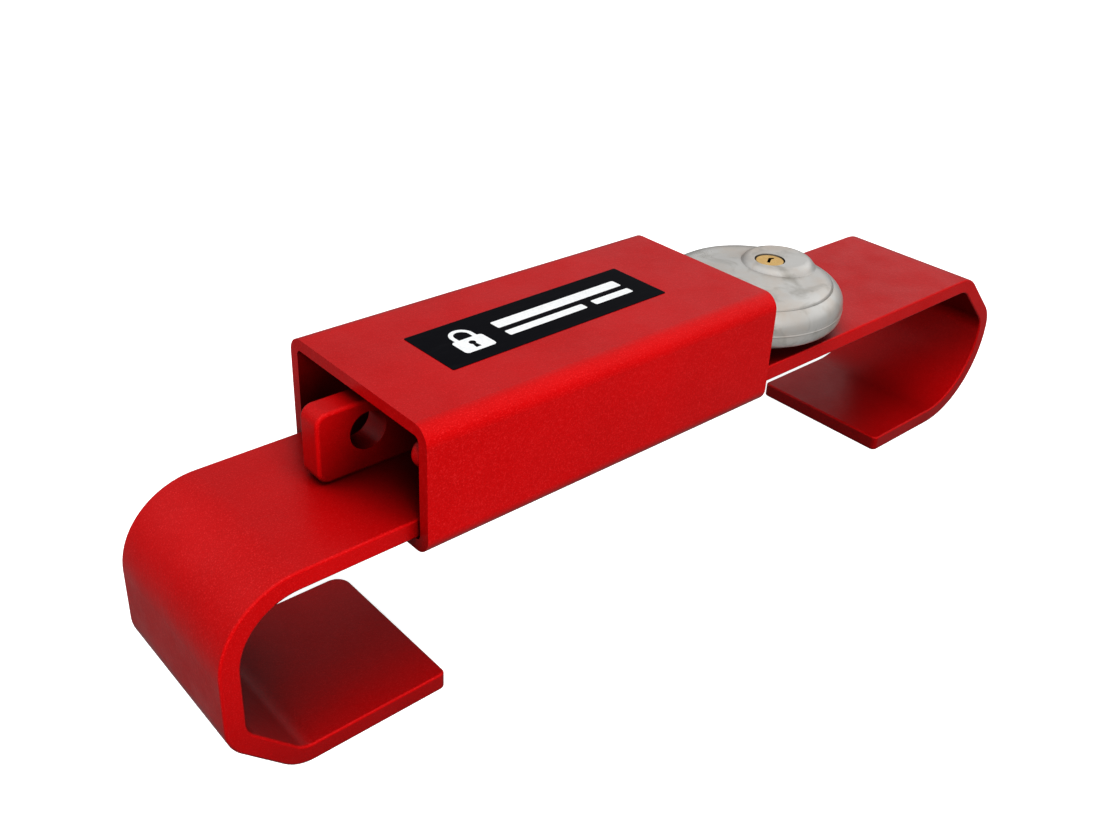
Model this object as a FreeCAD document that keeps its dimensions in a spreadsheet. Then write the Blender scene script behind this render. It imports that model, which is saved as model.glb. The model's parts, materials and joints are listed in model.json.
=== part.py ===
"""Adjustable two-hook lock for the door rods of a shipping container.

Frame: +X runs along the lock from the sliding hook to the fixed hook, +Y runs across it, +Z is up.
The origin is the centre of the footprint, on the plane that the undersides of both hook lips share.
All sizes are millimetres.
"""
import FreeCAD, Part
import math
import os
from FreeCAD import Placement, Rotation, Vector

SIZES = {
    # box-section housing
    "housing_length": 186.0, "housing_width": 92.0, "housing_height": 54.0,
    "housing_wall": 5.0, "housing_corner": 7.5, "strap_gap": 0.3,
    # flat-bar hooks
    "strap_width": 78.0, "strap_thickness": 8.0, "strap_easing": 1.0,
    "mouth_height": 71.0, "left_reach": 79.5, "right_reach": 213.0,
    "left_facet": 21.0, "right_facet": 25.5, "left_bend": 24.0, "right_bend": 39.0,
    "left_fold": 9.5, "right_fold": 12.0, "left_lip_end": 12.8, "right_lip_end": 115.5,
    "left_lip_near": 2.5, "left_lip_far": 7.0, "right_lip_near": 3.0, "right_lip_far": 2.5,
    "left_tail": 93.0, "right_tail": 45.0,
    # perforated lock bar and the lug beside it
    "bar_thickness": 12.0, "bar_height": 30.0, "bar_gap": 0.6, "bar_far_face": 11.0,
    "bar_corner": 5.0, "bar_easing": 1.5, "bar_overhang": 17.0,
    "hole_diameter": 16.0, "hole_pitch": 23.5, "hole_rise": 17.0, "hole_count": 9,
    "lug_thickness": 8.0, "lug_far_face": -2.5, "lug_length": 74.0, "weld_leg": 5.0,
    "peg_hole": 3, "peg_diameter": 15.6, "stud_diameter": 12.0, "stud_length": 9.0,
    # disc padlock
    "disc_reach": 39.0, "disc_radius": 45.0, "disc_base": 92.0, "shell_wall": 2.0,
    "shackle_radius": 33.0, "shackle_diameter": 10.0, "shackle_sweep": 155.0,
    "notch_width": 26.0, "notch_floor": 19.0, "liner_wall": 1.5,
    "plug_offset": 12.5, "plug_radius": 6.0, "plug_face_radius": 7.0, "running_gap": 0.05,
    "boss_offset": 19.0, "crank_radius": 10.0, "crank_pin": 4.0, "pin_diameter": 2.0, "pin_pitch": 2.5,
    "pin_count": 4, "key_turn": 140.0, "shackle_turn": 61.25,
    # label
    "label_length": 115.0, "label_width": 32.0, "label_film": 0.3,
}

doc = FreeCAD.newDocument("ContainerLock")
sheet = doc.addObject("Spreadsheet::Sheet", "Sizes")
for row, (alias, value) in enumerate(SIZES.items(), start=1):
    sheet.set("A%d" % row, alias)
    sheet.set("B%d" % row, str(value))
    sheet.setAlias("B%d" % row, alias)
doc.recompute()


def size(alias):
    """One driving dimension, read back from the sheet."""
    return float(sheet.get(alias))


# ---------------------------------------------------------------- places worked out from the sizes
STRAP = size("strap_thickness")
OVERALL = size("left_reach") + size("housing_length") + size("right_reach")
HOUSING_LEFT = size("left_reach") - OVERALL / 2
HOUSING_RIGHT = HOUSING_LEFT + size("housing_length")
STRAP_UNDER = STRAP + size("mouth_height")
HOUSING_UNDER = STRAP_UNDER - size("housing_wall")
HOUSING_TOP = HOUSING_UNDER + size("housing_height")
CEILING = HOUSING_TOP - size("housing_wall")
SLIDER_UNDER = STRAP_UNDER + size("strap_gap")
SLIDER_TOP = SLIDER_UNDER + STRAP
BAR_UNDER = SLIDER_TOP + size("bar_gap")
HOLE_Z = BAR_UNDER + size("hole_rise")
BAR_NEAR_FACE = size("bar_far_face") - size("bar_thickness")
DISC_X = HOUSING_RIGHT + size("disc_reach")
SHACKLE_X = DISC_X - size("shackle_radius")
HOLE_X = SHACKLE_X + 0.9        # the shackle bows, so the holes sit a little towards the disc's centre
FIRST_HOLE_X = HOLE_X - (size("hole_count") - 1) * size("hole_pitch")
BAR_LEFT = HOUSING_LEFT - size("bar_overhang")
BAR_RIGHT = DISC_X - size("notch_floor") - 1.0
PEG_X = FIRST_HOLE_X + size("peg_hole") * size("hole_pitch")
BASE = size("disc_base")
PLUG = Vector(DISC_X + size("plug_offset"), 0, 0)
PIN_ANGLE = 13.0                # where the plug's pins point while the shackle is open
CHAMBER_ANGLE = PIN_ANGLE - size("key_turn")
SHACKLE_START = 207.0           # the drawn-back shackle runs from here, anticlockwise from +X
RIVET_ANGLES = (-60.0, -20.0)
CARRIER_FLOOR = BASE + size("shell_wall") + 0.3
CARRIER_PLATE = 1.8
CRANK_FLOOR = CARRIER_FLOOR + CARRIER_PLATE + 0.3
CRANK_PLATE = 2.0
CORE_FLOOR = CRANK_FLOOR + CRANK_PLATE + 0.4
CORE_TOP = BASE + 17.3
BOSS_TOP = BASE + 24.4
SPLIT = 8.0                     # height of the joint between the two shells
RIM_BEND = 6.0                  # outer radius of the back shell's rim

PARTS = []


# ---------------------------------------------------------------- helpers
def keep(feature):
    """Mark a finished sub-part, so that it is checked and written out under its label."""
    PARTS.append(feature)
    return feature


def new_body(label):
    body = doc.addObject("PartDesign::Body", label)
    body.Label = label
    return keep(body)


def new_sketch(body, role, name, lift=0.0):
    """A sketch on one of the body's own origin planes, lifted along the plane's normal."""
    sketch = body.newObject("Sketcher::SketchObject", name)
    plane = [item for item in body.Origin.OriginFeatures if item.Role == role][0]
    sketch.AttachmentSupport = [(plane, "")]
    sketch.MapMode = "FlatFace"
    sketch.AttachmentOffset = Placement(Vector(0, 0, lift), Rotation())
    return sketch


def draw(sketch, edges):
    for edge in edges:
        sketch.addGeometry(edge, False)


def loop(points):
    """Straight closed outline through points given as pairs."""
    corners = [Vector(a, b, 0) for a, b in points]
    return [Part.LineSegment(a, b) for a, b in zip(corners, corners[1:] + corners[:1])]


def box_loop(left, low, right, high):
    return loop([(left, low), (right, low), (right, high), (left, high)])


def ring(centre_x, centre_y, radius):
    return [Part.Circle(Vector(centre_x, centre_y, 0), Vector(0, 0, 1), radius)]


def polar(radius, angle, centre=(0.0, 0.0)):
    turn = math.radians(angle)
    return Vector(centre[0] + radius * math.cos(turn), centre[1] + radius * math.sin(turn), 0)


def arc(radius, start, end, centre=(0.0, 0.0)):
    ends = (polar(radius, start, centre), polar(radius, (start + end) / 2, centre), polar(radius, end, centre))
    return Part.Arc(*ends)


def sector(inner, outer, start, end):
    """Closed outline of a piece of a flat ring."""
    return [
        arc(outer, start, end),
        Part.LineSegment(polar(outer, end), polar(inner, end)),
        arc(inner, end, start),
        Part.LineSegment(polar(inner, start), polar(outer, start)),
    ]


def pad(body, sketch, length, midplane=False):
    """Extrude a sketch by a number or by an expression on the sheet."""
    feature = body.newObject("PartDesign::Pad", sketch.Name + "_pad")
    feature.Profile = sketch
    feature.SideType = "Symmetric" if midplane else "One side"
    if isinstance(length, str):
        feature.setExpression("Length", length)
    else:
        feature.Length = length
    sketch.Visibility = False
    doc.recompute()
    return feature


def pocket(body, sketch, length=500.0):
    """Cut a sketch out to both sides of its plane, and make sure that it removed something."""
    before = body.Shape.Volume
    feature = body.newObject("PartDesign::Pocket", sketch.Name + "_pocket")
    feature.Profile = sketch
    feature.SideType = "Symmetric"
    feature.Length = length
    doc.recompute()
    if body.Shape.Volume > before - 1e-3:
        raise RuntimeError("%s cut nothing out of %s" % (sketch.Name, body.Label))
    return feature


def cut_down(body, sketch, depth):
    """Cut a sketch out below its plane only."""
    before = body.Shape.Volume
    feature = body.newObject("PartDesign::Pocket", sketch.Name + "_pocket")
    feature.Profile = sketch
    feature.Length = depth
    doc.recompute()
    if body.Shape.Volume > before - 1e-3:
        raise RuntimeError("%s cut nothing out of %s" % (sketch.Name, body.Label))
    return feature


def revolve(body, sketch):
    """Turn a sketch in the XZ plane once round the body's own Z axis."""
    feature = body.newObject("PartDesign::Revolution", sketch.Name + "_turned")
    feature.Profile = sketch
    feature.ReferenceAxis = (sketch, ["V_Axis"])
    feature.Angle = 360.0
    doc.recompute()
    return feature


def fillet(body, base, radius, pick):
    """Round the edges of a feature whose midpoint passes the test."""
    names = []
    for number, edge in enumerate(base.Shape.Edges, start=1):
        middle = edge.valueAt((edge.FirstParameter + edge.LastParameter) / 2)
        if pick(edge, middle):
            names.append("Edge%d" % number)
    feature = body.newObject("PartDesign::Fillet", base.Name + "_round")
    feature.Base = (base, names)
    if isinstance(radius, str):
        feature.setExpression("Radius", radius)
    else:
        feature.Radius = radius
    doc.recompute()
    return feature


def solid(label, shape, placement=None):
    feature = doc.addObject("Part::Feature", label)
    feature.Label = label
    feature.Shape = shape
    if placement:
        feature.Placement = placement
    return keep(feature)


def bar_outline(path, bends, thickness):
    """Closed side view of a flat bar of one thickness, bent along a mid-line with a radius at each turn."""
    sides = ([], [])
    last = [None, None]
    for index in range(1, len(path) - 1):
        before, corner, after = (Vector(*path[index + step], 0) for step in (-1, 0, 1))
        arrive = (corner - before).normalize()
        leave = (after - corner).normalize()
        turn = arrive.getAngle(leave)
        hand = 1.0 if arrive.cross(leave).z > 0 else -1.0
        reach = bends[index - 1] * math.tan(turn / 2)
        start, end = corner - arrive * reach, corner + leave * reach
        inward = Vector(-arrive.y, arrive.x, 0) * hand
        centre = start + inward * bends[index - 1]
        middle = (corner - centre).normalize()
        for side, lean in enumerate((1.0, -1.0)):
            radius = bends[index - 1] - lean * hand * thickness / 2
            offset_start = centre + (start - centre).normalize() * radius
            offset_end = centre + (end - centre).normalize() * radius
            origin = last[side]
            if origin is None:
                origin = before + Vector(-arrive.y, arrive.x, 0) * lean * thickness / 2
            sides[side].append(Part.LineSegment(origin, offset_start))
            sides[side].append(Part.Arc(offset_start, centre + middle * radius, offset_end))
            last[side] = offset_end
    finish = Vector(*path[-1], 0)
    leave = (finish - Vector(*path[-2], 0)).normalize()
    for side, lean in enumerate((1.0, -1.0)):
        stop = finish + Vector(-leave.y, leave.x, 0) * lean * thickness / 2
        sides[side].append(Part.LineSegment(last[side], stop))
        last[side] = stop
    caps = [
        Part.LineSegment(last[0], last[1]),
        Part.LineSegment(sides[0][0].StartPoint, sides[1][0].StartPoint),
    ]
    return sides[0] + sides[1] + caps


def bead(label, runs, leg):
    """Fillet welds: quarter-round beads, each along one inside corner.

    A run is (corner, length axis letter, length, start angle of the bead's quarter about that axis).
    """
    beads = []
    for corner, axis, length, start in runs:
        quarter = Part.makeCylinder(leg, length, Vector(0, 0, 0), Vector(0, 0, 1), 90)
        quarter.rotate(Vector(0, 0, 0), Vector(0, 0, 1), start)
        if axis == "x":
            quarter.rotate(Vector(0, 0, 0), Vector(1, 1, 1), 120)
        elif axis == "y":
            quarter.rotate(Vector(0, 0, 0), Vector(1, 1, 1), 240)
        quarter.translate(Vector(*corner))
        beads.append(quarter)
    return solid(label, Part.makeCompound(beads) if len(beads) > 1 else beads[0])


# ---------------------------------------------------------------- housing and the fixed hook
def housing_tube():
    """Length of cold-formed box section, open at both ends."""
    body = new_body("housing_tube")
    body.Placement = Placement(Vector(HOUSING_LEFT, 0, HOUSING_UNDER), Rotation())
    half, top = size("housing_width") / 2, size("housing_height")
    wall, corner = size("housing_wall"), size("housing_corner")
    outer = new_sketch(body, "YZ_Plane", "housing_outer")
    draw(outer, box_loop(-half, 0, half, top))
    tube = pad(body, outer, "Sizes.housing_length")
    along = lambda edge, middle: abs(edge.tangentAt(edge.FirstParameter).x) > 0.99
    fillet(body, tube, "Sizes.housing_corner", along)
    inner = new_sketch(body, "YZ_Plane", "housing_inner")
    radius = corner - wall
    low, high, side = wall, top - wall, half - wall
    corners = [(side - radius, low + radius, -90), (side - radius, high - radius, 0),
               (-side + radius, high - radius, 90), (-side + radius, low + radius, 180)]
    arcs = [arc(radius, start, start + 90, (a, b)) for a, b, start in corners]
    for here, there in zip(arcs, arcs[1:] + arcs[:1]):
        draw(inner, [here, Part.LineSegment(here.EndPoint, there.StartPoint)])
    pocket(body, inner)
    return body


def hook_strap(label, path, bends, lip):
    """Flat bar bent into a hook, with eased edges and rounded corners at the lip's end."""
    body = new_body(label)
    lip_x = path[-1][0]
    side_view = new_sketch(body, "XZ_Plane", label + "_side")
    draw(side_view, bar_outline(path, bends, STRAP))
    bar = pad(body, side_view, "Sizes.strap_width", midplane=True)
    rounded = bar
    for side, corner in ((-1, lip + "_near"), (1, lip + "_far")):
        upright = lambda edge, middle: (abs(edge.tangentAt(edge.FirstParameter).z) > 0.99
                                        and abs(middle.x - lip_x) < 0.1 and middle.y * side > 0)
        rounded = fillet(body, rounded, "Sizes." + corner, upright)
    half = size("strap_width") / 2
    rim = lambda edge, middle: abs(abs(middle.y) - half) < 0.01
    fillet(body, rounded, "Sizes.strap_easing", rim)
    return body


def right_hook_strap():
    """Fixed hook: a long straight run, a folded upper corner and a rolled lower corner."""
    mid, lip = STRAP_UNDER + STRAP / 2, STRAP / 2
    outer = OVERALL / 2 - STRAP / 2
    shift = STRAP / 2 * (math.sqrt(2) - 1)
    facet = size("right_facet")
    path = [
        (HOUSING_RIGHT - size("right_tail"), mid),
        (outer - STRAP / 2 - facet + shift, mid),
        (outer, STRAP_UNDER - facet + shift),
        (outer, lip),
        (HOUSING_RIGHT + size("right_lip_end"), lip),
    ]
    fold = size("right_fold") + STRAP / 2
    bends = [fold, fold, size("right_bend") + STRAP / 2]
    return hook_strap("right_hook_strap", path, bends, "right_lip")


def lock_lug():
    """Upright plate welded under the housing's roof; it stands out of the right end into the padlock."""
    body = new_body("lock_lug")
    body.Placement = Placement(Vector(0, size("lug_far_face"), 0), Rotation())
    right = BAR_RIGHT
    left = right - size("lug_length")
    low = HOLE_Z - 12.0
    outline = new_sketch(body, "XZ_Plane", "lug_side")
    step = HOUSING_RIGHT - 1.0
    nose = HOLE_Z + 12.0
    draw(outline, loop([(left, low), (right, low), (right, nose), (step, nose), (step, CEILING), (left, CEILING)]))
    plate = pad(body, outline, "Sizes.lug_thickness")
    free = lambda edge, middle: (abs(edge.tangentAt(edge.FirstParameter).y) > 0.99
                                 and (middle.x > right - 1 or middle.x < left + 1 and middle.z < low + 1))
    fillet(body, plate, "Sizes.bar_corner", free)
    hole = new_sketch(body, "XZ_Plane", "lug_hole")
    draw(hole, ring(HOLE_X, HOLE_Z, size("hole_diameter") / 2))
    pocket(body, hole)
    return body


def housing_welds():
    """Weld beads that hold the fixed hook and the lug in the housing."""
    leg = size("weld_leg")
    half_strap, inside = size("strap_width") / 2, size("housing_width") / 2 - size("housing_wall")
    near_lug = size("lug_far_face") - size("lug_thickness")
    lug_left = BAR_RIGHT - size("lug_length")
    run = HOUSING_RIGHT - 1.0 - lug_left - 6.0
    bead("lug_welds", [
        ((lug_left + 3.0, near_lug, CEILING), "x", run, 180),
        ((lug_left + 3.0, size("lug_far_face"), CEILING), "x", run, 270),
    ], leg - 1.0)
    gap = inside - half_strap
    end_run = 2 * half_strap - 12.0
    bead("strap_end_weld", [((HOUSING_RIGHT, -end_run / 2, STRAP_UNDER), "y", end_run, 90)], leg)
    edge_beads = []
    for sign in (-1, 1):
        middle = sign * (inside - gap / 2)
        level = STRAP_UNDER + STRAP / 2
        rod = Part.makeCylinder(gap * 0.62, 30.0, Vector(HOUSING_RIGHT - 28.0, middle, level), Vector(1, 0, 0))
        nose = Part.makeSphere(gap * 0.62, Vector(HOUSING_RIGHT + 2.0, middle, level))
        slot = Part.makeBox(60, gap, 20, Vector(HOUSING_RIGHT - 40, middle - gap / 2, level - 10))
        edge_beads.append(rod.fuse(nose).common(slot).removeSplitter())
    solid("strap_edge_welds", Part.makeCompound(edge_beads))


def wall_stud():
    """Short round stud welded inside the near wall at the left mouth."""
    stud = doc.addObject("Part::Cylinder", "wall_stud")
    stud.Label = "wall_stud"
    stud.setExpression("Radius", "Sizes.stud_diameter / 2")
    stud.setExpression("Height", "Sizes.stud_length")
    inside = size("housing_width") / 2 - size("housing_wall")
    stud.Placement = Placement(Vector(HOUSING_LEFT + 7.5, -inside, HOUSING_UNDER + 37.5),
                               Rotation(Vector(1, 0, 0), -90))
    domed = doc.addObject("Part::Fillet", "wall_stud_domed")
    domed.Base = stud
    doc.recompute()
    rims = [number for number, edge in enumerate(stud.Shape.Edges, start=1)
            if edge.Closed and edge.CenterOfMass.y > -inside + 1]
    domed.Edges = [(number, 3.0, 3.0) for number in rims]
    stud.Label = "wall_stud_blank"
    domed.Label = "wall_stud"
    return keep(domed)


def label():
    """Printed film stuck on the housing's roof."""
    film = doc.addObject("Part::Box", "label")
    film.Label = "label"
    film.setExpression("Length", "Sizes.label_length")
    film.setExpression("Width", "Sizes.label_width")
    film.setExpression("Height", "Sizes.label_film")
    film.Placement = Placement(Vector(HOUSING_LEFT + 33.0, -16.5, HOUSING_TOP), Rotation(Vector(0, 0, 1), 1.0))
    return keep(film)


# ---------------------------------------------------------------- sliding hook
def left_hook_strap():
    """Sliding hook: a rolled upper corner and a folded lower corner."""
    mid, lip = SLIDER_UNDER + STRAP / 2, STRAP / 2
    outer = -OVERALL / 2 + STRAP / 2
    shift = STRAP / 2 * (math.sqrt(2) - 1)
    facet = size("left_facet")
    path = [
        (HOUSING_LEFT + size("left_tail"), mid),
        (outer, mid),
        (outer, STRAP + facet - shift),
        (outer + STRAP / 2 + facet - shift, lip),
        (HOUSING_LEFT + size("left_lip_end"), lip),
    ]
    fold = size("left_fold") + STRAP / 2
    return hook_strap("left_hook_strap", path, [size("left_bend") + STRAP / 2, fold, fold], "left_lip")


def lock_bar():
    """Thick perforated bar on edge; it sits over the sliding hook and ends in the padlock's opening."""
    body = new_body("lock_bar")
    body.Placement = Placement(Vector(0, size("bar_far_face"), 0), Rotation())
    outline = new_sketch(body, "XZ_Plane", "bar_side")
    draw(outline, box_loop(BAR_LEFT, BAR_UNDER, BAR_RIGHT, BAR_UNDER + size("bar_height")))
    blank = pad(body, outline, "Sizes.bar_thickness")
    across = lambda edge, middle: abs(edge.tangentAt(edge.FirstParameter).y) > 0.99
    rounded = fillet(body, blank, "Sizes.bar_corner", across)
    far, near = 0.0, -size("bar_thickness")
    rims = lambda edge, middle: abs(middle.y - far) < 0.01 or abs(middle.y - near) < 0.01
    fillet(body, rounded, "Sizes.bar_easing", rims)
    holes = new_sketch(body, "XZ_Plane", "bar_holes")
    for index in range(int(size("hole_count"))):
        draw(holes, ring(FIRST_HOLE_X + index * size("hole_pitch"), HOLE_Z, size("hole_diameter") / 2))
    pocket(body, holes)
    return body


def peg_bracket():
    """Upright plate welded on the sliding hook; its peg fills one hole of the lock bar."""
    body = new_body("peg_bracket")
    body.Placement = Placement(Vector(PEG_X, BAR_NEAR_FACE - 0.5, SLIDER_TOP), Rotation())
    outline = new_sketch(body, "XZ_Plane", "bracket_side")
    top = HOLE_Z - SLIDER_TOP + 11.0
    draw(outline, box_loop(-13, 0, 13, top))
    plate = pad(body, outline, "Sizes.lug_thickness")
    crown = lambda edge, middle: abs(edge.tangentAt(edge.FirstParameter).y) > 0.99 and middle.z > top - 1
    fillet(body, plate, 10.0, crown)
    hole = new_sketch(body, "XZ_Plane", "bracket_hole")
    draw(hole, ring(0, HOLE_Z - SLIDER_TOP, size("peg_diameter") / 2 - 2.0))
    pocket(body, hole)
    return body


def hook_peg():
    """Shouldered peg: the shank is pressed in the bracket, the full diameter fills the bar's hole."""
    body = new_body("hook_peg")
    body.Placement = Placement(Vector(PEG_X, BAR_NEAR_FACE - 0.5, HOLE_Z), Rotation(Vector(1, 0, 0), -90))
    section = new_sketch(body, "XZ_Plane", "peg_half")
    shank, full = size("peg_diameter") / 2 - 2.0, size("peg_diameter") / 2
    back, tip = -size("lug_thickness"), size("bar_thickness") + 1.0
    draw(section, loop([(0, back), (shank, back), (shank, 0), (full, 0), (full, tip - 1.5), (full - 1.5, tip),
                        (0, tip)]))
    revolve(body, section)
    return body


def bracket_welds():
    near = BAR_NEAR_FACE - 0.5 - size("lug_thickness")
    bead("bracket_welds", [((PEG_X - 12.0, near, SLIDER_TOP), "x", 24.0, 90)], size("weld_leg"))


# ---------------------------------------------------------------- padlock shells
def at_disc(height=0.0):
    return Placement(Vector(DISC_X, 0, BASE + height), Rotation())


def cut_notch(body, depth_of_wall):
    """Cut the padlock's U-shaped opening, grown by a wall where a liner sits inside it."""
    grow = depth_of_wall
    notch = new_sketch(body, "XY_Plane", body.Label + "_notch")
    half = size("notch_width") / 2 + grow
    draw(notch, box_loop(-size("disc_radius") - 20, -half, -size("notch_floor") + grow, half))
    pocket(body, notch)


def back_shell():
    """Dished stainless back half with a rounded lower rim."""
    body = new_body("back_shell")
    body.Placement = at_disc()
    radius, wall, bend = size("disc_radius"), size("shell_wall"), RIM_BEND
    section = new_sketch(body, "XZ_Plane", "back_half")
    centre = (radius - bend, bend)
    edges = loop([(0, 0), (radius - bend, 0)])[:1]
    edges += [arc(bend, -90, 0, centre), Part.LineSegment(Vector(radius, bend, 0), Vector(radius, SPLIT, 0))]
    edges += [Part.LineSegment(Vector(radius, SPLIT, 0), Vector(radius - wall, SPLIT, 0))]
    edges += [Part.LineSegment(Vector(radius - wall, SPLIT, 0), Vector(radius - wall, bend, 0))]
    edges += [arc(bend - wall, 0, -90, centre)]
    edges += [Part.LineSegment(Vector(radius - bend, wall, 0), Vector(0, wall, 0))]
    edges += [Part.LineSegment(Vector(0, wall, 0), Vector(0, 0, 0))]
    draw(section, edges)
    revolve(body, section)
    cut_notch(body, 0.0)
    return body


def turned(*runs):
    """Solid of revolution about Z from a half outline given as radius and height.

    The outline is a chain of runs. A run of more than two points is one smooth curve through them;
    the gap between one run and the next is closed with a straight line.
    """
    edges = []
    for run in runs:
        corners = [Vector(a, 0, b) for a, b in run]
        if edges and edges[-1].valueAt(edges[-1].LastParameter).distanceToPoint(corners[0]) > 1e-6:
            edges.append(Part.makeLine(edges[-1].valueAt(edges[-1].LastParameter), corners[0]))
        if len(corners) > 2:
            curve = Part.BSplineCurve()
            curve.interpolate(corners)
            edges.append(curve.toShape())
        else:
            edges.append(Part.makeLine(*corners))
    edges.append(Part.makeLine(edges[-1].valueAt(edges[-1].LastParameter), edges[0].valueAt(edges[0].FirstParameter)))
    return Part.Face(Part.Wire(edges)).revolve(Vector(0, 0, 0), Vector(0, 0, 1), 360)


def straight(points):
    """The runs of an outline that has only straight sides."""
    return list(zip(points, points[1:]))


def shell_inside(slack=0.0):
    """The space inside the two shells, as one turned solid, less an all-round slack."""
    radius, wall = size("disc_radius"), size("shell_wall")
    outline = [(0, wall + slack), (radius - RIM_BEND - slack, wall + slack),
               (radius - wall - slack, RIM_BEND + slack),
               (radius - wall - slack, 10.2 - slack), (radius - 3.0 - slack, 12.9 - slack),
               (radius - 4.7 - slack, 15.4 - slack), (37.9 - slack, 16.6 - slack), (36.6 - slack, 17.4 - slack),
               (36.0 - slack, 18.2 - slack), (20.0, 19.2 - slack), (0, 19.6 - slack)]
    return turned(*straight(outline))


def front_shell():
    """Drawn stainless front half: rolled shoulder, stepped ring, low crown and an offset key boss."""
    radius, wall = size("disc_radius"), size("shell_wall")
    crown = turned([(0, SPLIT), (radius, SPLIT)],
                   [(radius, 10.0), (radius - 0.5, 13.0), (radius - 2.6, 16.2), (39.4, 18.2)],
                   [(38.9, 18.0), (38.4, 18.9)],
                   [(38.2, 19.1), (36.2, 20.0), (28.0, 20.8), (14.0, 21.45), (0, 21.6)])
    boss_height = BOSS_TOP - BASE
    boss = turned([(0, 18.0), (19.4, 18.0)],
                  [(19.4, 20.2), (18.2, 21.4), (16.9, 23.0), (15.2, 24.1), (13.4, boss_height)],
                  [(13.4, boss_height), (0, boss_height)])
    hollow = turned(*straight([(0, 17.0), (15.6, 17.0), (15.6, 20.4), (14.2, 21.7), (13.2, boss_height - wall),
                               (0, boss_height - wall)]))
    for piece in (boss, hollow):
        piece.translate(Vector(size("boss_offset"), 0, 0))
    shell = crown.fuse(boss).cut(shell_inside()).cut(hollow)
    plug_hole = Part.makeCylinder(size("plug_face_radius") + 0.5, 20, Vector(size("plug_offset"), 0, 15))
    shell = shell.cut(plug_hole).cut(notch_block()).removeSplitter()
    return solid("front_shell", shell, at_disc())


def notch_block(wall=0.0):
    """The block of space that the opening takes out of the padlock, grown by a wall."""
    half, floor = size("notch_width") / 2 + wall, size("notch_floor") - wall
    return Part.makeBox(60, 2 * half, 60, Vector(-floor - 60, -half, -10))


def seam_weld():
    """Dressed weld bead round the joint between the two shells, broken at the opening."""
    radius, rise, stand = size("disc_radius"), 0.5, 0.2
    gap = math.degrees(math.asin((size("notch_width") / 2 + 0.4) / radius))
    outline = [Vector(radius, 0, -rise), Vector(radius + stand, 0, -rise / 3), Vector(radius + stand, 0, rise / 3),
               Vector(radius, 0, rise)]
    face = Part.Face(Part.makePolygon(outline + outline[:1]))
    ring_bead = face.revolve(Vector(0, 0, 0), Vector(0, 0, 1), 360 - 2 * gap)
    place = Placement(Vector(DISC_X, 0, BASE + SPLIT), Rotation(Vector(0, 0, 1), 180 + gap))
    return solid("seam_weld", ring_bead, place)


def opening_liner():
    """Channel-shaped steel wall that closes the padlock's opening between the shells."""
    wall, height = size("liner_wall"), HOLE_Z - BASE
    reach = math.sqrt(size("shackle_radius") ** 2 - (size("notch_width") / 2) ** 2)
    window = Part.makeBox(15.2, 60, 12.4, Vector(-reach - 7.6, -30, height - 6.2))
    channel = notch_block(wall).cut(notch_block()).cut(window)
    return solid("opening_liner", channel.common(shell_inside(0.02)), at_disc())


# ---------------------------------------------------------------- padlock works
def guide_ring():
    """Hardened ring that backs the outside of the shackle's path."""
    body = new_body("guide_ring")
    body.Placement = at_disc(3.0)
    half_gap = math.degrees(math.asin(16.5 / 40.0))
    outline = new_sketch(body, "XY_Plane", "guide_plan")
    outer = size("disc_radius") - 4.0
    inner = size("shackle_radius") + size("shackle_diameter") / 2 + 0.4
    draw(outline, sector(inner, outer, half_gap - 180, 180 - half_gap))
    pad(body, outline, 11.0)
    return body


def core_block():
    """Cast core: it carries the cylinder and backs the inside of the shackle's path."""
    body = new_body("core_block")
    body.Placement = Placement(Vector(DISC_X, 0, CORE_FLOOR), Rotation())
    radius = size("shackle_radius") - size("shackle_diameter") / 2 - 0.4
    outline = new_sketch(body, "XY_Plane", "core_plan")
    draw(outline, ring(0, 0, radius))
    pad(body, outline, CORE_TOP - CORE_FLOOR)
    cut_notch(body, size("liner_wall") + 0.1)
    bore = new_sketch(body, "XY_Plane", "core_bore")
    draw(bore, ring(size("plug_offset"), 0, 8.2))
    pocket(body, bore)
    chamber = new_sketch(body, "XY_Plane", "core_chamber")
    turn = math.radians(CHAMBER_ANGLE)
    along, side = Vector(math.cos(turn), math.sin(turn), 0), Vector(-math.sin(turn), math.cos(turn), 0)
    plug = Vector(size("plug_offset"), 0, 0)
    corners = [plug + along * a + side * b for a, b in ((4, -3.7), (15.4, -3.7), (15.4, 3.7), (4, 3.7))]
    draw(chamber, loop([(corner.x, corner.y) for corner in corners]))
    pocket(body, chamber)
    return body


def pivot_stud():
    """Riveted stud on the back shell that the shackle carrier turns about."""
    body = new_body("pivot_stud")
    body.Placement = at_disc()
    section = new_sketch(body, "XZ_Plane", "stud_half")
    low, neck, top = size("shell_wall"), CARRIER_FLOOR + CARRIER_PLATE + 0.2 - BASE, CORE_FLOOR - BASE
    draw(section, loop([(0, low), (3.9, low), (3.9, neck), (5.2, neck), (5.2, top), (0, top)]))
    revolve(body, section)
    return body


def shackle():
    """Hardened round bar bent to an arc; it turns in its own circle and is drawn back in, open."""
    body = new_body("shackle")
    body.Placement = Placement(Vector(DISC_X, 0, HOLE_Z), Rotation(Vector(0, 0, 1), SHACKLE_START))
    section = new_sketch(body, "XZ_Plane", "shackle_section")
    draw(section, ring(size("shackle_radius"), 0, size("shackle_diameter") / 2))
    arc_bar = body.newObject("PartDesign::Revolution", "shackle_arc")
    arc_bar.Profile = section
    arc_bar.ReferenceAxis = (section, ["V_Axis"])
    arc_bar.setExpression("Angle", "Sizes.shackle_sweep")
    doc.recompute()
    bore = new_sketch(body, "XY_Plane", "shackle_rivet_holes", lift=1.0 - size("shackle_diameter") / 2)
    for angle in RIVET_ANGLES:
        spot = polar(size("shackle_radius"), angle - SHACKLE_START)
        draw(bore, ring(spot.x, spot.y, 3.2))
    cut_down(body, bore, 10.0)
    return body


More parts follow.
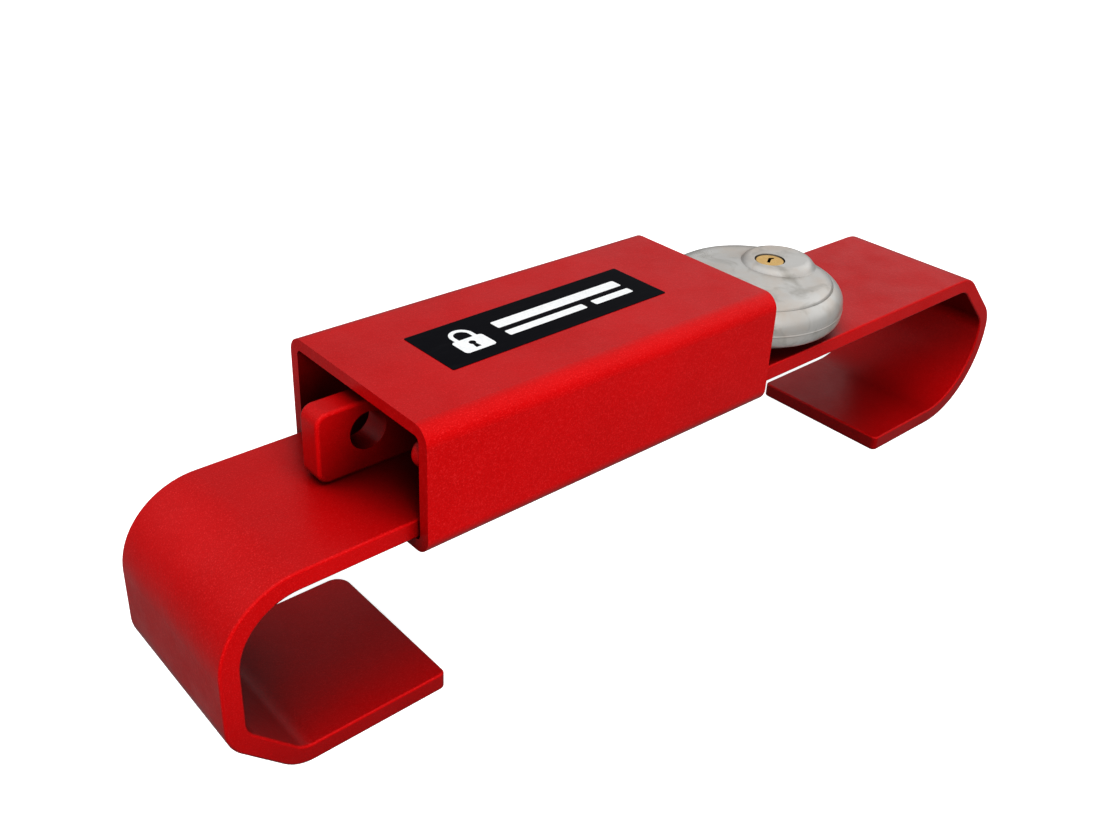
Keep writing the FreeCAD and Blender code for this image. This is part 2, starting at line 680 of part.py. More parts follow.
def shackle_carrier():
    """Flat sector that joins the shackle to the key's crank."""
    body = new_body("shackle_carrier")
    body.Placement = Placement(Vector(DISC_X, 0, CARRIER_FLOOR), Rotation())
    outline = new_sketch(body, "XY_Plane", "carrier_plan")
    hub, wide, arm = 7.0, 27.0, 36.5
    arm_from, arm_to, slot_to = -72.0, -8.0, 45.0
    draw(outline, [
        arc(arm, arm_from, arm_to),
        Part.LineSegment(polar(arm, arm_to), polar(wide, arm_to)),
        arc(wide, arm_to, slot_to),
        Part.LineSegment(polar(wide, slot_to), polar(hub, slot_to)),
        arc(hub, slot_to, 360 + arm_from),
        Part.LineSegment(polar(hub, arm_from), polar(arm, arm_from)),
    ])
    pad(body, outline, CARRIER_PLATE)
    bore = new_sketch(body, "XY_Plane", "carrier_bore")
    draw(bore, ring(0, 0, 3.9 + size("running_gap")))
    pocket(body, bore)
    slot = new_sketch(body, "XY_Plane", "carrier_slot")
    half = size("crank_pin") / 2 + 0.35
    middle = size("shackle_turn") / 2
    near, far = 17.9, 23.0
    across = polar(half, middle + 90)
    inner, outer = polar(near, middle), polar(far, middle)
    draw(slot, [
        Part.LineSegment(inner + across, outer + across),
        Part.Arc(outer + across, outer + polar(half, middle), outer - across),
        Part.LineSegment(outer - across, inner - across),
        Part.Arc(inner - across, inner - polar(half, middle), inner + across),
    ])
    pocket(body, slot)
    rivets = new_sketch(body, "XY_Plane", "carrier_rivets")
    for angle in RIVET_ANGLES:
        spot = polar(size("shackle_radius"), angle)
        draw(rivets, ring(spot.x, spot.y, 2.5))
    pocket(body, rivets)
    return body


def shackle_rivets():
    """Two shouldered rivets that hold the shackle above its carrier."""
    pieces = []
    top = HOLE_Z - size("shackle_diameter") / 2
    for angle in RIVET_ANGLES:
        spot = polar(size("shackle_radius"), angle) + Vector(DISC_X, 0, 0)
        shank = Part.makeCylinder(2.5, CARRIER_PLATE, Vector(spot.x, spot.y, CARRIER_FLOOR))
        spacer_floor = CARRIER_FLOOR + CARRIER_PLATE
        spacer = Part.makeCylinder(3.2, top + 1.0 - spacer_floor, Vector(spot.x, spot.y, spacer_floor))
        pieces.append(shank.fuse(spacer).removeSplitter())
    return solid("shackle_rivets", Part.makeCompound(pieces))


# ---------------------------------------------------------------- lock cylinder
def cylinder_body():
    """Brass cylinder: a barrel for the plug and a rib with the pin chambers."""
    barrel = Part.makeCylinder(7.8, CORE_TOP - CORE_FLOOR + 3.0, Vector(0, 0, CORE_FLOOR))
    rib = Part.makeBox(11.0, 6.8, CORE_TOP - CORE_FLOOR, Vector(4.0, -3.4, CORE_FLOOR))
    bore = Part.makeCylinder(size("plug_radius") + size("running_gap"), 40, Vector(0, 0, CORE_FLOOR - 5))
    shape = barrel.fuse(rib).cut(bore)
    for level in pin_levels():
        shape = shape.cut(Part.makeCylinder(size("pin_diameter") / 2 + 0.05, 20, Vector(5.0, 0, level),
                                            Vector(1, 0, 0)))
    place = Placement(PLUG, Rotation(Vector(0, 0, 1), CHAMBER_ANGLE))
    return solid("cylinder_body", shape.removeSplitter(), place)


def pin_levels():
    span = (size("pin_count") - 1) * size("pin_pitch")
    first = (CORE_FLOOR + CORE_TOP) / 2 - span / 2
    return [first + index * size("pin_pitch") for index in range(int(size("pin_count")))]


def key_plug():
    """Brass plug with a dog-leg keyway; its face shows in the boss."""
    face_top = BOSS_TOP - 0.4
    shank_top = CORE_TOP + 3.2
    shank = Part.makeCylinder(size("plug_radius"), shank_top - CORE_FLOOR, Vector(0, 0, CORE_FLOOR))
    face = Part.makeCylinder(size("plug_face_radius"), face_top - shank_top, Vector(0, 0, shank_top))
    rim = [edge for edge in face.Edges if edge.Closed and edge.CenterOfMass.z > face_top - 0.1]
    face = face.makeFillet(0.5, rim)
    tail = Part.makeBox(5.0, 5.0, CRANK_PLATE + 0.4, Vector(-2.5, -2.5, CRANK_FLOOR))
    shape = shank.fuse(face).fuse(tail)
    slot = [(-3.2, 0.0), (2.3, 1.75), (4.0, 0.1), (3.1, -0.9), (1.9, 0.1), (-2.8, -1.4)]
    outline = Part.Face(Part.makePolygon([Vector(a, b, 0) for a, b in slot + slot[:1]]))
    keyway = outline.extrude(Vector(0, 0, face_top - CORE_FLOOR - 2.0))
    keyway.translate(Vector(0, 0, CORE_FLOOR + 2.5))
    shape = shape.cut(keyway)
    for level in pin_levels():
        shape = shape.cut(Part.makeCylinder(size("pin_diameter") / 2 + 0.05, 3.4, Vector(2.7, 0, level),
                                            Vector(1, 0, 0)))
    return solid("key_plug", shape.removeSplitter(), Placement(PLUG, Rotation(Vector(0, 0, 1), PIN_ANGLE)))


def pins_along(label, start, lengths, angle, diameter_drop=0.0):
    """A row of round pins that lie along one direction from the plug's axis."""
    radius = size("pin_diameter") / 2 - diameter_drop
    pieces = [Part.makeCylinder(radius, length, Vector(begin, 0, level), Vector(1, 0, 0))
              for begin, length, level in zip(start, lengths, pin_levels())]
    return solid(label, Part.makeCompound(pieces), Placement(PLUG, Rotation(Vector(0, 0, 1), angle)))


def pin_stacks():
    """Key pins turn with the plug; driver pins and springs stay in the cylinder's rib."""
    shear = size("plug_radius")
    key_lengths = (2.6, 3.1, 2.3, 2.8)
    driver = 3.0
    pins_along("key_pins", [shear - 0.1 - length for length in key_lengths], key_lengths, PIN_ANGLE)
    outside = shear + size("running_gap") + 0.1
    pins_along("driver_pins", [outside] * 4, [driver] * 4, CHAMBER_ANGLE)
    springs = []
    turns, spring_radius, wire = 4, 0.62, 0.18
    begin, end = outside + driver + wire + 0.02, 14.75
    for level in pin_levels():
        helix = Part.makeHelix((end - wire - begin) / turns, end - wire - begin, spring_radius)
        profile = Part.Wire(Part.makeCircle(wire, Vector(spring_radius, 0, 0), Vector(0, 1, 0)))
        coil = Part.Wire(helix.Edges).makePipeShell([profile], True, True)
        coil.rotate(Vector(0, 0, 0), Vector(0, 1, 0), 90)
        coil.translate(Vector(begin, 0, level))
        springs.append(coil)
    place = Placement(PLUG, Rotation(Vector(0, 0, 1), CHAMBER_ANGLE))
    solid("pin_springs", Part.makeCompound(springs), place)
    cover = Part.makeBox(0.35, 6.0, CORE_TOP - CORE_FLOOR - 0.4, Vector(15.0, -3.0, CORE_FLOOR + 0.2))
    solid("chamber_cover", cover, place)


def crank():
    """Plate peened on the plug's square tail, with the pin that drives the carrier."""
    plate = Part.makeCylinder(5.5, CRANK_PLATE, Vector(0, 0, CRANK_FLOOR))
    arm = Part.makeBox(size("crank_radius"), 6.0, CRANK_PLATE, Vector(0, -3.0, CRANK_FLOOR))
    tip = Part.makeCylinder(3.0, CRANK_PLATE, Vector(size("crank_radius"), 0, CRANK_FLOOR))
    square = Part.makeBox(5.0, 5.0, 20, Vector(-2.5, -2.5, CRANK_FLOOR - 5))
    square.rotate(Vector(0, 0, 0), Vector(0, 0, 1), PIN_ANGLE - size("key_turn") / 2)
    pin_hole = Part.makeCylinder(1.5, 20, Vector(size("crank_radius"), 0, CRANK_FLOOR - 5))
    shape = plate.fuse(arm).fuse(tip).cut(square).cut(pin_hole).removeSplitter()
    place = Placement(PLUG, Rotation(Vector(0, 0, 1), size("key_turn") / 2))
    solid("crank", shape, place)
    pin = Part.makeCylinder(1.5, CRANK_PLATE, Vector(size("crank_radius"), 0, CRANK_FLOOR))
    foot = Part.makeCylinder(size("crank_pin") / 2, CRANK_FLOOR - CARRIER_FLOOR, Vector(size("crank_radius"), 0,
                             CARRIER_FLOOR))
    return solid("crank_pin", pin.fuse(foot).removeSplitter(), place)


# ---------------------------------------------------------------- build, check and write
housing_tube()
right_hook_strap()
lock_lug()
housing_welds()
wall_stud()
label()
left_hook_strap()
lock_bar()
peg_bracket()
hook_peg()
bracket_welds()
back_shell()
front_shell()
seam_weld()
opening_liner()
guide_ring()
core_block()
pivot_stud()
shackle()
shackle_carrier()
shackle_rivets()
cylinder_body()
key_plug()
pin_stacks()
crank()
doc.recompute()

for item in doc.Objects:
    if "Invalid" in item.State or "Error" in item.State:
        raise RuntimeError("%s did not build: %s" % (item.Label, item.State))
os.makedirs("parts", exist_ok=True)
for part in PARTS:
    if part.Shape.isNull() or not part.Shape.isValid():
        raise RuntimeError("%s has no valid shape" % part.Label)
    part.Shape.exportStep("parts/%s.step" % part.Label)
    box = part.Shape.BoundBox
    print("%-18s %2d solid(s) %9.0f mm3  x %7.1f %7.1f  y %6.1f %6.1f  z %6.1f %6.1f" % (
        part.Label, len(part.Shape.Solids), part.Shape.Volume, box.XMin, box.XMax, box.YMin, box.YMax,
        box.ZMin, box.ZMax))
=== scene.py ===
"""Looks for the container door lock: finishes, printed label, floor, lights and camera."""
import json
import math

import bmesh
import bpy
from mathutils import Matrix, Vector


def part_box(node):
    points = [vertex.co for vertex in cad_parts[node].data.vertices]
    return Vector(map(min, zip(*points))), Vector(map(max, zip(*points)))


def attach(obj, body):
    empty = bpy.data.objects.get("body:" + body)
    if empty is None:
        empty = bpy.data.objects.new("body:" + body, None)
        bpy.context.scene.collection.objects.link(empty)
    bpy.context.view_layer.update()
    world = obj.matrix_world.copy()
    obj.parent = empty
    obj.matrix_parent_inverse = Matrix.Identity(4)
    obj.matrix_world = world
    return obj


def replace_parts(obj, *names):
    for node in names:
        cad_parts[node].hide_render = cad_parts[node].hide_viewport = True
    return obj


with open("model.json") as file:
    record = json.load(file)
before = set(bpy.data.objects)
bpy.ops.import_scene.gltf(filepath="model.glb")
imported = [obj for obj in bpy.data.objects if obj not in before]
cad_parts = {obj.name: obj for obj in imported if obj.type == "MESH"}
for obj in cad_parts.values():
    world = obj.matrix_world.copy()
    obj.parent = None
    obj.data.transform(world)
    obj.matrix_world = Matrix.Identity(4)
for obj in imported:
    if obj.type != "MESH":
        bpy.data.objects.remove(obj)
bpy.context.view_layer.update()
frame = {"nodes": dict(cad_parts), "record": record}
MM = 0.001


# ---------------------------------------------------------------- shader building blocks
class Finish:
    """A Principled material whose patterns follow the piece's own coordinates, in metres."""

    def __init__(self, name, colour, metallic=0.0, roughness=0.5):
        self.material = bpy.data.materials.new(name)
        self.material.use_nodes = True
        self.tree = self.material.node_tree
        self.tree.nodes.clear()
        output = self.tree.nodes.new("ShaderNodeOutputMaterial")
        self.shader = self.tree.nodes.new("ShaderNodeBsdfPrincipled")
        self.tree.links.new(self.shader.outputs[0], output.inputs[0])
        self.set("Base Color", (*colour, 1.0))
        self.set("Metallic", metallic)
        self.set("Roughness", roughness)
        self.place = self.tree.nodes.new("ShaderNodeTexCoord").outputs["Object"]

    def set(self, socket, value):
        self.shader.inputs[socket].default_value = value

    def feed(self, socket, source):
        self.tree.links.new(source, self.shader.inputs[socket])

    def node(self, kind, inputs=(), **settings):
        """A node with its settings, and its inputs as numbers or as links from other outputs."""
        made = self.tree.nodes.new(kind)
        for name, value in settings.items():
            setattr(made, name, value)
        for key, value in dict(inputs).items():
            if isinstance(value, bpy.types.NodeSocket):
                self.tree.links.new(value, made.inputs[key])
            else:
                made.inputs[key].default_value = value
        return made

    def stretched(self, scale, turn=(0.0, 0.0, 0.0), shift=(0.0, 0.0, 0.0)):
        inputs = {"Vector": self.place, "Scale": scale, "Rotation": turn, "Location": shift}
        return self.node("ShaderNodeMapping", inputs).outputs[0]

    def noise(self, scale, detail=2.0, rough=0.5, place=None, distortion=0.0):
        inputs = {"Vector": place or self.place, "Scale": scale, "Detail": detail, "Roughness": rough,
                  "Distortion": distortion}
        return self.node("ShaderNodeTexNoise", inputs).outputs[0]

    def remap(self, source, low, high, new_low, new_high):
        inputs = {"Value": source, "From Min": low, "From Max": high, "To Min": new_low, "To Max": new_high}
        return self.node("ShaderNodeMapRange", inputs).outputs[0]

    def maths(self, operation, a, b=0.0):
        return self.node("ShaderNodeMath", {0: a, 1: b}, operation=operation).outputs[0]

    def mix(self, amount, colour_a, colour_b, blend="MIX"):
        made = self.node("ShaderNodeMix", data_type="RGBA", blend_type=blend)
        colours = (colour_a, colour_b)
        sockets = [s for s in made.inputs if s.type == "RGBA"]
        for socket, colour in zip(sockets, colours):
            if isinstance(colour, bpy.types.NodeSocket):
                self.tree.links.new(colour, socket)
            else:
                socket.default_value = (*colour, 1.0)
        factor = made.inputs[0]
        if isinstance(amount, bpy.types.NodeSocket):
            self.tree.links.new(amount, factor)
        else:
            factor.default_value = amount
        return [s for s in made.outputs if s.type == "RGBA"][0]

    def painted_recess_shade(self, colour, reach, closed, open_, darkest):
        """Painted shade: a colour darkened where nearby surfaces, within a reach in metres, close the spot in,
        standing in for the shade that falls in recesses.
        """
        openness = self.node("ShaderNodeAmbientOcclusion", {"Distance": reach}, samples=8).outputs["AO"]
        return self.mix(1.0, colour, self.remap(openness, closed, open_, darkest, 1.0), "MULTIPLY")

    def bumps(self, *layers):
        """Stacks (height, distance) layers into the normal."""
        normal = None
        for height, distance in layers:
            inputs = {"Height": height, "Distance": distance, "Strength": 1.0}
            if normal:
                inputs["Normal"] = normal
            normal = self.node("ShaderNodeBump", inputs).outputs[0]
        self.feed("Normal", normal)


def powder_coat():
    """Satin red powder coat: orange peel, fine grain, broad blotches, and painted shade that darkens it in the
    recesses.
    """
    f = Finish("red_powder_coat", (0.45, 0.002, 0.003), roughness=0.34)
    f.set("Specular IOR Level", 0.2)
    blotch = f.noise(16.0, 4.0, 0.55)
    grain = f.noise(1900.0, 2.0, 0.7)
    tone = f.mix(f.remap(blotch, 0.3, 0.7, 0.0, 1.0), (0.40, 0.0012, 0.0018), (0.47, 0.0018, 0.0030))
    speckle = f.mix(f.remap(grain, 0.54, 0.70, 0.0, 0.8), tone, (0.60, 0.022, 0.024))
    pits = f.mix(f.remap(grain, 0.42, 0.25, 0.0, 0.5), speckle, (0.26, 0.0006, 0.001))
    # painted shade: the coat's colour is darkened inside the hooks, the mouth and other recesses, standing in for
    # the shade that falls there
    f.feed("Base Color", f.painted_recess_shade(pits, 0.16, 0.28, 0.76, 0.12))
    f.feed("Roughness", f.remap(f.noise(60.0, 3.0), 0.3, 0.7, 0.30, 0.42))
    f.bumps((f.noise(520.0, 2.0), 0.00006), (grain, 0.000012))
    return f.material


def stainless(name, tint, roughness):
    """Tumbled stainless steel: soft grain, fine scratches, warm patches and dull clouds, with painted shade
    darkening its grooves.
    """
    f = Finish(name, tint, metallic=0.7, roughness=roughness)
    warm = tuple(c * k for c, k in zip(tint, (0.98, 0.88, 0.80)))
    dull = tuple(c * k for c, k in zip(tint, (0.62, 0.60, 0.56)))
    patches = f.noise(42.0, 4.0, 0.6)
    toned = f.mix(f.remap(patches, 0.42, 0.66, 0.0, 0.9), tint, warm)
    clouds = f.noise(75.0, 3.0, 0.55, distortion=0.6)
    clouded = f.mix(f.remap(clouds, 0.52, 0.72, 0.0, 0.8), toned, dull)
    # painted shade: the steel's colour is darkened in grooves and around the boss, standing in for the shade there
    f.feed("Base Color", f.painted_recess_shade(clouded, 0.005, 0.45, 0.9, 0.4))
    tumble = f.noise(900.0, 3.0, 0.6)
    scratch = f.noise(1.0, 2.0, 0.7, f.stretched((2400.0, 120.0, 900.0), (0.3, 0.2, 0.6)))
    rough = f.remap(patches, 0.3, 0.7, roughness - 0.05, roughness + 0.07)
    f.feed("Roughness", f.maths("ADD", rough, f.remap(tumble, 0.3, 0.7, -0.03, 0.03)))
    f.bumps((tumble, 0.00002), (scratch, 0.000006))
    return f.material


def brass(name, colour):
    """Machined brass with faint turning rings about the plug's axis, with painted shade darkening the inside of the
    keyway.
    """
    f = Finish(name, colour, metallic=1.0, roughness=0.3)
    low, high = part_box("key_plug")
    middle = (low + high) / 2
    centred = f.stretched((1.0, 1.0, 0.0), shift=(-middle.x, -middle.y, 0.0))
    waves = {"Vector": centred, "Scale": 900.0, "Distortion": 0.4, "Detail": 1.0}
    rings = f.node("ShaderNodeTexWave", waves, wave_type="RINGS", rings_direction="SPHERICAL").outputs[1]
    stain = f.noise(260.0, 3.0)
    dull = tuple(c * k for c, k in zip(colour, (0.86, 0.80, 0.70)))
    stained = f.mix(f.remap(stain, 0.4, 0.7, 0.0, 0.8), colour, dull)
    # painted shade: the brass is darkened nearly to black inside the keyway and the gap round the plug, standing in
    # for the shade there
    f.feed("Base Color", f.painted_recess_shade(stained, 0.003, 0.35, 0.85, 0.03))
    f.feed("Roughness", f.remap(stain, 0.3, 0.7, 0.24, 0.38))
    f.bumps((rings, 0.000006))
    return f.material


def plain_metal(name, colour, roughness, grain_scale, grain_depth):
    """Steel or cast alloy with grain at a stated size."""
    f = Finish(name, colour, metallic=1.0, roughness=roughness)
    grain = f.noise(grain_scale, 3.0, 0.6)
    dark = tuple(c * 0.82 for c in colour)
    f.feed("Base Color", f.mix(f.remap(grain, 0.35, 0.65, 0.0, 1.0), dark, colour))
    f.feed("Roughness", f.remap(f.noise(80.0, 3.0), 0.3, 0.7, roughness - 0.05, roughness + 0.08))
    f.bumps((grain, grain_depth))
    return f.material


def vinyl():
    """Black printed film: fine leathery grain and faint scuffs."""
    f = Finish("label_film", (0.005, 0.005, 0.007), roughness=0.36)
    scuff = f.noise(1.0, 3.0, 0.6, f.stretched((70.0, 420.0, 70.0), (0.0, 0.0, 0.5)))
    scuffed = f.mix(f.remap(scuff, 0.5, 0.75, 0.0, 0.6), (0.004, 0.004, 0.006), (0.012, 0.012, 0.014))
    f.feed("Base Color", scuffed)
    f.feed("Roughness", f.remap(scuff, 0.35, 0.7, 0.32, 0.48))
    f.set("Specular IOR Level", 0.02)
    f.bumps((f.noise(1500.0, 2.0), 0.000008))
    return f.material


def print_ink():
    """White screen-print ink with a slightly thin, uneven lay."""
    f = Finish("label_ink", (0.86, 0.87, 0.87), roughness=0.45)
    lay = f.noise(900.0, 3.0, 0.6)
    f.feed("Base Color", f.mix(f.remap(lay, 0.35, 0.6, 0.35, 0.0), (0.86, 0.87, 0.87), (0.62, 0.63, 0.64)))
    f.bumps((lay, 0.000006))
    return f.material


FINISHES = {
    "red_powder_coat": powder_coat(),
    "label_film": vinyl(),
    "stainless_shell": stainless("stainless_shell", (0.60, 0.585, 0.56), 0.34),
    "stainless_weld": stainless("stainless_weld", (0.58, 0.56, 0.53), 0.45),
    "hardened_steel": plain_metal("hardened_steel", (0.34, 0.34, 0.36), 0.35, 700.0, 0.00001),
    "cast_core": plain_metal("cast_core", (0.42, 0.43, 0.45), 0.55, 420.0, 0.00006),
    "shackle_chrome": plain_metal("shackle_chrome", (0.78, 0.79, 0.81), 0.12, 300.0, 0.000002),
    "zinc_plated_steel": plain_metal("zinc_plated_steel", (0.60, 0.62, 0.65), 0.32, 520.0, 0.00001),
    "brass_body": brass("brass_body", (0.76, 0.54, 0.22)),
    "brass_plug": brass("brass_plug", (0.86, 0.56, 0.20)),
    "spring_steel": plain_metal("spring_steel", (0.55, 0.55, 0.57), 0.25, 900.0, 0.000004),
}
INK = print_ink()


def dress(piece, material):
    """Gives every slot of a piece the same material."""
    if not piece.material_slots:
        piece.data.materials.append(material)
    for slot in piece.material_slots:
        slot.material = material


for subpart in frame["record"]["subparts"]:
    dress(frame["nodes"][subpart["node"]], FINISHES[subpart["material_slot"]])


# ---------------------------------------------------------------- mesh helpers
def piece_from(name, bm, body, material):
    """An object made from a finished bmesh, on a body and in a slot."""
    mesh = bpy.data.meshes.new(name)
    bmesh.ops.recalc_face_normals(bm, faces=bm.faces)
    bm.to_mesh(mesh)
    bm.free()
    made = bpy.data.objects.new(name, mesh)
    bpy.context.scene.collection.objects.link(made)
    dress(made, material)
    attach(made, body)
    return made


def slab(bm, outline, low, high, place):
    """Adds a closed flat slab between two heights, from an outline of (x, y) pairs."""
    bottom = [bm.verts.new(place @ Vector((x, y, low))) for x, y in outline]
    top = [bm.verts.new(place @ Vector((x, y, high))) for x, y in outline]
    bm.faces.new(list(reversed(bottom)))
    bm.faces.new(top)
    for i in range(len(outline)):
        j = (i + 1) % len(outline)
        bm.faces.new((bottom[i], bottom[j], top[j], top[i]))


def rounded(left, low, right, high, radius, steps=6):
    """Outline of a rectangle with rounded corners."""
    points = []
    for cx, cy, start in ((right - radius, high - radius, 0), (left + radius, high - radius, 90),
                          (left + radius, low + radius, 180), (right - radius, low + radius, 270)):
        for step in range(steps + 1):
            angle = math.radians(start + 90 * step / steps)
            points.append((cx + radius * math.cos(angle), cy + radius * math.sin(angle)))
    return points


def hoop(cx, cy, outer, inner, leg, steps=16):
    """Outline of a padlock's shackle: a half ring with two straight legs."""
    turns = [math.pi * i / steps for i in range(steps + 1)]
    over = [(cx + outer * math.cos(a), cy + outer * math.sin(a)) for a in turns]
    under = [(cx + inner * math.cos(a), cy + inner * math.sin(a)) for a in reversed(turns)]
    return ([(cx + outer, cy - leg)] + over + [(cx - outer, cy - leg), (cx - inner, cy - leg)] + under
            + [(cx + inner, cy - leg)])


# ---------------------------------------------------------------- printed label
# Everything printed is in millimetres from the label's middle.
FILM = (-57.5, -16.0, 57.5, 16.0, 0.7)                  # left, low, right, high, corner radius
FILM_THICKNESS, INK_TOP_ABOVE_ROOF = 0.22, 0.28
LABEL_TURN = math.radians(1.0)
ICON_X = -38.0
ICON_CASE = (ICON_X - 7.5, -9.0, ICON_X + 7.5, 1.5, 1.6)
ICON_SHACKLE = (ICON_X, 4.2, 5.4, 3.4, 2.7)             # middle, outer and inner radius, leg
ICON_HOLE_Y, ICON_HOLE_RADIUS = -2.6, 1.5
ICON_SLOT_HALF, ICON_SLOT_LOW = 1.3, -6.8
BARS = ((-22.0, 0.8, 47.0, 6.6, 0.8), (-22.0, -6.8, 20.0, -2.6, 0.8), (25.0, -6.8, 47.0, -2.6, 0.8))


def metres(values):
    return [value * MM for value in values]


def printed_label():
    """Black film with a white padlock pictogram and three plain bars in place of any wording."""
    low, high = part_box("label")
    film_top, ink_top = low.z + FILM_THICKNESS * MM, low.z + INK_TOP_ABOVE_ROOF * MM
    middle = Vector(((low.x + high.x) / 2, (low.y + high.y) / 2, 0.0))
    place = Matrix.Translation(middle) @ Matrix.Rotation(LABEL_TURN, 4, "Z")
    film = bmesh.new()
    slab(film, rounded(*metres(FILM)), low.z, film_top, place)
    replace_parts(piece_from("label_print_film", film, "housing", FINISHES["label_film"]), "label")
    ink = bmesh.new()
    outlines = [rounded(*metres(ICON_CASE)), hoop(*metres(ICON_SHACKLE))]
    outlines += [rounded(*metres(bar)) for bar in BARS]
    for outline in outlines:
        slab(ink, outline, film_top, ink_top, place)
    piece_from("label_print_marks", ink, "housing", INK)
    keyhole = bmesh.new()
    turns = [math.radians(-60 + 300 * i / 20) for i in range(21)]
    outline = [(ICON_X + ICON_HOLE_RADIUS * math.cos(turn), ICON_HOLE_Y + ICON_HOLE_RADIUS * math.sin(turn))
               for turn in turns]
    outline += [(ICON_X - ICON_SLOT_HALF, ICON_SLOT_LOW), (ICON_X + ICON_SLOT_HALF, ICON_SLOT_LOW)]
    slab(keyhole, [metres(point) for point in outline], ink_top - 0.01 * MM, ink_top + 0.02 * MM, place)
    piece_from("label_print_keyhole", keyhole, "housing", FINISHES["label_film"])


# ---------------------------------------------------------------- floor, lights and camera
# How bright the studio is by direction, from -X (0) to +X (1).
WORLD_SWEEP = ((0.0, 0.55), (1.0, 0.8), (0.35, 0.5), (0.62, 0.24), (0.80, 0.4), (0.93, 0.8))
WORLD_FULL_HEIGHT = 0.6     # sine of the elevation at which the studio reaches its full brightness
WORLD_TINT = (0.98, 0.99, 1.0, 1.0)
GLOSSY_LIFT = 0.28          # reflections see a little more of the white studio than the paint is lit by
FLOOR_RADIUS, FLOOR_DROP, FLOOR_GLOW = 14.0, 0.0002, 0.62
LAMP_TARGET = Vector((0.0, 0.0, 0.06))
CAMERA_AT = (-0.35346, -0.32393, 0.33654)
CAMERA_AZIMUTH, CAMERA_ELEVATION, CAMERA_ROLL = (math.radians(angle) for angle in (-42.794, 27.899, -2.986))
CAMERA_LENS, CAMERA_SENSOR, CAMERA_SHIFT = 38.08, 36.0, (-0.0168, -0.0491)


def floor():
    """A white floor that glows a little, so that it stays white and still takes a faint contact shadow."""
    f = Finish("studio_floor", (0.9, 0.9, 0.9), roughness=0.9)
    f.set("Specular IOR Level", 0.1)
    f.set("Emission Color", (1.0, 1.0, 1.0, 1.0))
    f.set("Emission Strength", FLOOR_GLOW)
    bm = bmesh.new()
    bmesh.ops.create_circle(bm, cap_ends=True, segments=96, radius=FLOOR_RADIUS)
    mesh = bpy.data.meshes.new("studio_floor")
    bm.to_mesh(mesh)
    bm.free()
    made = bpy.data.objects.new("studio_floor", mesh)
    made.location = (0.0, 0.0, -FLOOR_DROP)
    bpy.context.scene.collection.objects.link(made)
    dress(made, f.material)
    made.visible_glossy = False
    made.visible_diffuse = False


def softbox(name, azimuth, elevation, distance, width, height, power):
    """Area light aimed at the object; azimuth 0 stands at +X and 90 at +Y."""
    light = bpy.data.lights.new(name, "AREA")
    light.shape = "RECTANGLE"
    light.size, light.size_y = width, height
    light.energy = power
    made = bpy.data.objects.new(name, light)
    a, e = math.radians(azimuth), math.radians(elevation)
    away = Vector((math.cos(a) * math.cos(e), math.sin(a) * math.cos(e), math.sin(e)))
    made.location = LAMP_TARGET + away * distance
    made.rotation_euler = away.to_track_quat("Z", "Y").to_euler()
    made.visible_glossy = False     # the paint and the steel mirror the plain studio, not the lamps
    bpy.context.scene.collection.objects.link(made)


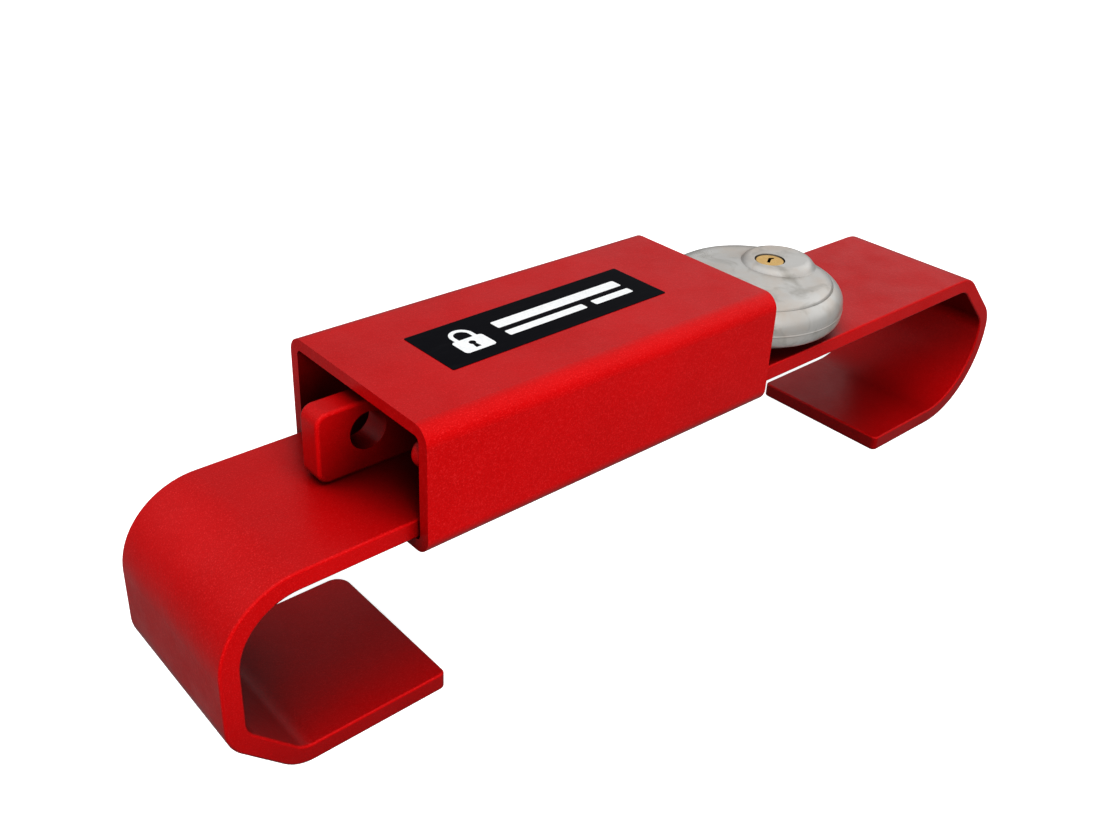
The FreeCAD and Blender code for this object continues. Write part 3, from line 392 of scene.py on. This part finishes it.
def surroundings():
    """A dim studio, dark below the horizon and brighter to the far right, with plain white behind."""
    world = bpy.data.worlds.new("studio")
    world.use_nodes = True
    tree = world.node_tree
    nodes, links = tree.nodes, tree.links
    background = nodes["Background"]
    way = nodes.new("ShaderNodeSeparateXYZ")
    links.new(nodes.new("ShaderNodeTexCoord").outputs["Generated"], way.inputs[0])
    along = nodes.new("ShaderNodeMapRange")
    along.inputs["From Min"].default_value = -1.0
    links.new(way.outputs["X"], along.inputs["Value"])
    sweep = nodes.new("ShaderNodeValToRGB")
    for index, (spot, level) in enumerate(WORLD_SWEEP):
        stop = sweep.color_ramp.elements[index] if index < 2 else sweep.color_ramp.elements.new(spot)
        stop.position = spot
        stop.color = (level, level, level, 1.0)
    links.new(along.outputs[0], sweep.inputs[0])
    lift = nodes.new("ShaderNodeMapRange")
    lift.interpolation_type = "SMOOTHSTEP"
    lift.inputs["From Max"].default_value = WORLD_FULL_HEIGHT
    links.new(way.outputs["Z"], lift.inputs["Value"])
    level = nodes.new("ShaderNodeMath")
    level.operation = "MULTIPLY"
    links.new(sweep.outputs[0], level.inputs[0])
    links.new(lift.outputs[0], level.inputs[1])
    path = nodes.new("ShaderNodeLightPath")
    mirrored = nodes.new("ShaderNodeMath")
    mirrored.operation = "MULTIPLY_ADD"
    links.new(path.outputs["Is Glossy Ray"], mirrored.inputs[0])
    mirrored.inputs[1].default_value = GLOSSY_LIFT
    links.new(level.outputs[0], mirrored.inputs[2])
    seen = nodes.new("ShaderNodeMix")
    seen.data_type = "FLOAT"
    links.new(path.outputs["Is Camera Ray"], seen.inputs[0])
    links.new(mirrored.outputs[0], seen.inputs[2])
    seen.inputs[3].default_value = 1.0
    links.new(seen.outputs[0], background.inputs["Strength"])
    background.inputs["Color"].default_value = WORLD_TINT
    bpy.context.scene.world = world


def camera():
    """The viewing angle: above the left front corner, tipped about three degrees."""
    level = math.cos(CAMERA_ELEVATION)
    back = Vector((math.sin(CAMERA_AZIMUTH) * level, -math.cos(CAMERA_AZIMUTH) * level, math.sin(CAMERA_ELEVATION)))
    right = (-back).cross(Vector((0.0, 0.0, 1.0))).normalized()
    down = (-back).cross(right)
    c, s = math.cos(CAMERA_ROLL), math.sin(CAMERA_ROLL)
    side, drop = right * c + down * s, down * c - right * s
    data = bpy.data.cameras.new("camera")
    data.sensor_width = CAMERA_SENSOR
    data.lens = CAMERA_LENS
    data.shift_x, data.shift_y = CAMERA_SHIFT
    data.clip_start, data.clip_end = 0.01, 60.0
    made = bpy.data.objects.new("camera", data)
    turn = Matrix((side, -drop, back)).transposed().to_4x4()
    made.matrix_world = Matrix.Translation(CAMERA_AT) @ turn
    bpy.context.scene.collection.objects.link(made)
    bpy.context.scene.camera = made


printed_label()
floor()
surroundings()
softbox("front_left_softbox", 238.0, 20.0, 1.5, 0.8, 0.5, 21.0)
softbox("overhead_softbox", 250.0, 68.0, 1.4, 0.8, 0.8, 7.0)
camera()
bpy.context.scene.view_settings.view_transform = "Standard"
bpy.context.scene.view_settings.look = "Medium High Contrast"
